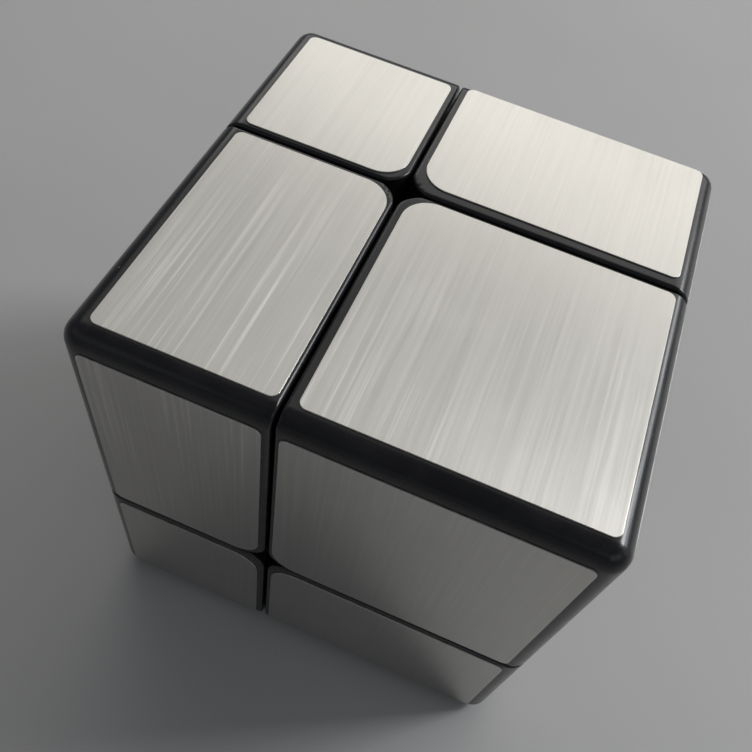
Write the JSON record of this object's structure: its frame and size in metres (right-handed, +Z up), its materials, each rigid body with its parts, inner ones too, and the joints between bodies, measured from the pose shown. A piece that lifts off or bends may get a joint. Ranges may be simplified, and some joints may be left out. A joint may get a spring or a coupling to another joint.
{
  "type": "twisty puzzle cube",
  "caption": "Mirror-block twisty puzzle cube with off-centre cuts, black plastic blocks with brushed silver foil faces, and a sprung ball-core turning mechanism inside.",
  "frame": {"origin": "middle of the underside, on the surface the cube rests on", "axes": "+X to the right, +Y to the back, +Z up, with the narrow column on the left, the deep row at the front and the tall layer on top"},
  "size_m": [0.05, 0.05, 0.05],
  "materials": {
    "brushed_foil": "brushed silver foil, grain one way on each face",
    "gloss_black": "glossy moulded black plastic with light handling wear",
    "base_black": "semi-gloss moulded black plastic",
    "core_black": "satin moulded black plastic",
    "mechanism_grey": "satin moulded dark plastic",
    "black_oxide_steel": "black oxide steel",
    "washer_steel": "plain steel",
    "spring_steel": "drawn spring wire"
  },
  "bodies": {
    "core_and_lower_layer": {"core_ball": "core_black", "tension_screws": "black_oxide_steel", "spring_washers": "washer_steel", "tension_springs": "spring_steel", "fixed_centres": "mechanism_grey", "edge_back_right": "mechanism_grey", "edge_back_left": "mechanism_grey", "edge_front_left": "mechanism_grey", "edge_front_right": "mechanism_grey", "edge_lower_right": "mechanism_grey", "edge_lower_back": "mechanism_grey", "edge_lower_left": "mechanism_grey", "edge_lower_front": "mechanism_grey", "lower_front_left_cap": "gloss_black", "lower_front_right_cap": "gloss_black", "lower_back_left_cap": "gloss_black", "lower_back_right_cap": "gloss_black", "lower_front_left_base": "base_black", "lower_front_right_base": "base_black", "lower_back_left_base": "base_black", "lower_back_right_base": "base_black", "lower_front_left_bottom_foil": "brushed_foil", "lower_front_left_front_foil": "brushed_foil", "lower_front_left_left_foil": "brushed_foil", "lower_front_right_bottom_foil": "brushed_foil", "lower_front_right_front_foil": "brushed_foil", "lower_front_right_right_foil": "brushed_foil", "lower_back_left_bottom_foil": "brushed_foil", "lower_back_left_back_foil": "brushed_foil", "lower_back_left_left_foil": "brushed_foil", "lower_back_right_bottom_foil": "brushed_foil", "lower_back_right_back_foil": "brushed_foil", "lower_back_right_right_foil": "brushed_foil"},
    "upper_layer": {"centre_upper": "mechanism_grey", "edge_upper_right": "mechanism_grey", "edge_upper_back": "mechanism_grey", "edge_upper_left": "mechanism_grey", "edge_upper_front": "mechanism_grey", "upper_front_left_cap": "gloss_black", "upper_front_right_cap": "gloss_black", "upper_back_left_cap": "gloss_black", "upper_back_right_cap": "gloss_black", "upper_front_left_base": "base_black", "upper_front_right_base": "base_black", "upper_back_left_base": "base_black", "upper_back_right_base": "base_black", "upper_front_left_top_foil": "brushed_foil", "upper_front_left_front_foil": "brushed_foil", "upper_front_left_left_foil": "brushed_foil", "upper_front_right_top_foil": "brushed_foil", "upper_front_right_front_foil": "brushed_foil", "upper_front_right_right_foil": "brushed_foil", "upper_back_left_top_foil": "brushed_foil", "upper_back_left_back_foil": "brushed_foil", "upper_back_left_left_foil": "brushed_foil", "upper_back_right_top_foil": "brushed_foil", "upper_back_right_back_foil": "brushed_foil", "upper_back_right_right_foil": "brushed_foil"},
    "right_centre": {"centre_right": "mechanism_grey"},
    "front_centre": {"centre_front": "mechanism_grey"}
  },
  "joints": [
    {"name": "upper_layer_turn", "type": "hinge", "parent": "core_and_lower_layer", "child": "upper_layer", "pos_m": [-0.005, 0.005, 0.02], "axis": [0, 0, 1], "continuous": true},
    {"name": "right_centre_spin", "type": "hinge", "parent": "core_and_lower_layer", "child": "right_centre", "pos_m": [-0.005, 0.005, 0.02], "axis": [1, 0, 0], "continuous": true},
    {"name": "front_centre_spin", "type": "hinge", "parent": "core_and_lower_layer", "child": "front_centre", "pos_m": [-0.005, 0.005, 0.02], "axis": [0, -1, 0], "continuous": true}
  ]
}
